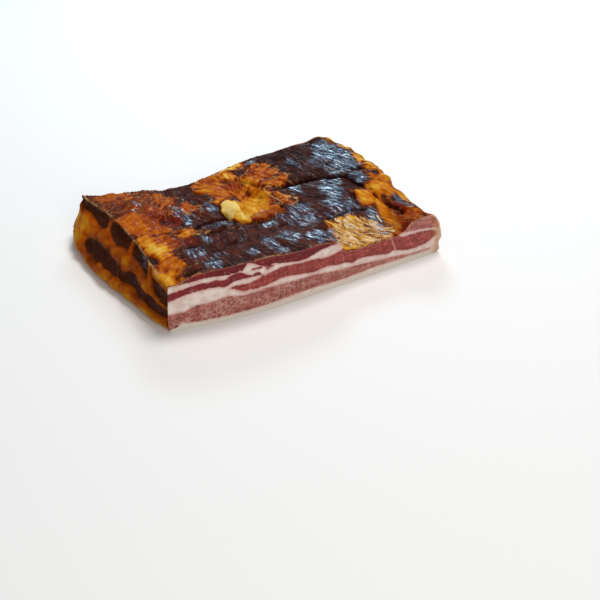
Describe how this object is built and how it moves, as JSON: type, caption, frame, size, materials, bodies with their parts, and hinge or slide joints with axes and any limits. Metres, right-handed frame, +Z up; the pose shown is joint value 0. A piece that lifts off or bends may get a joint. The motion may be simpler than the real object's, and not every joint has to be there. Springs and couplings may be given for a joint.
{
  "type": "smoked streaky bacon slab",
  "caption": "Slab of smoked streaky bacon lying on its rind, with a fresh cut along one long side that shows its layers of lean and fat.",
  "frame": {"origin": "middle of the footprint, on the surface that the slab lies on", "axes": "+X along the fresh cut towards the thin right end, +Y from the cut towards the back, +Z up from the rind"},
  "size_m": [0.2826, 0.1964, 0.0511],
  "materials": {
    "smoked_bacon": "waxy, dried and smoked skin with a gloss; moist lean and fat at the cut"
  },
  "bodies": {
    "root": {"bacon_slab": "smoked_bacon"}
  },
  "joints": []
}
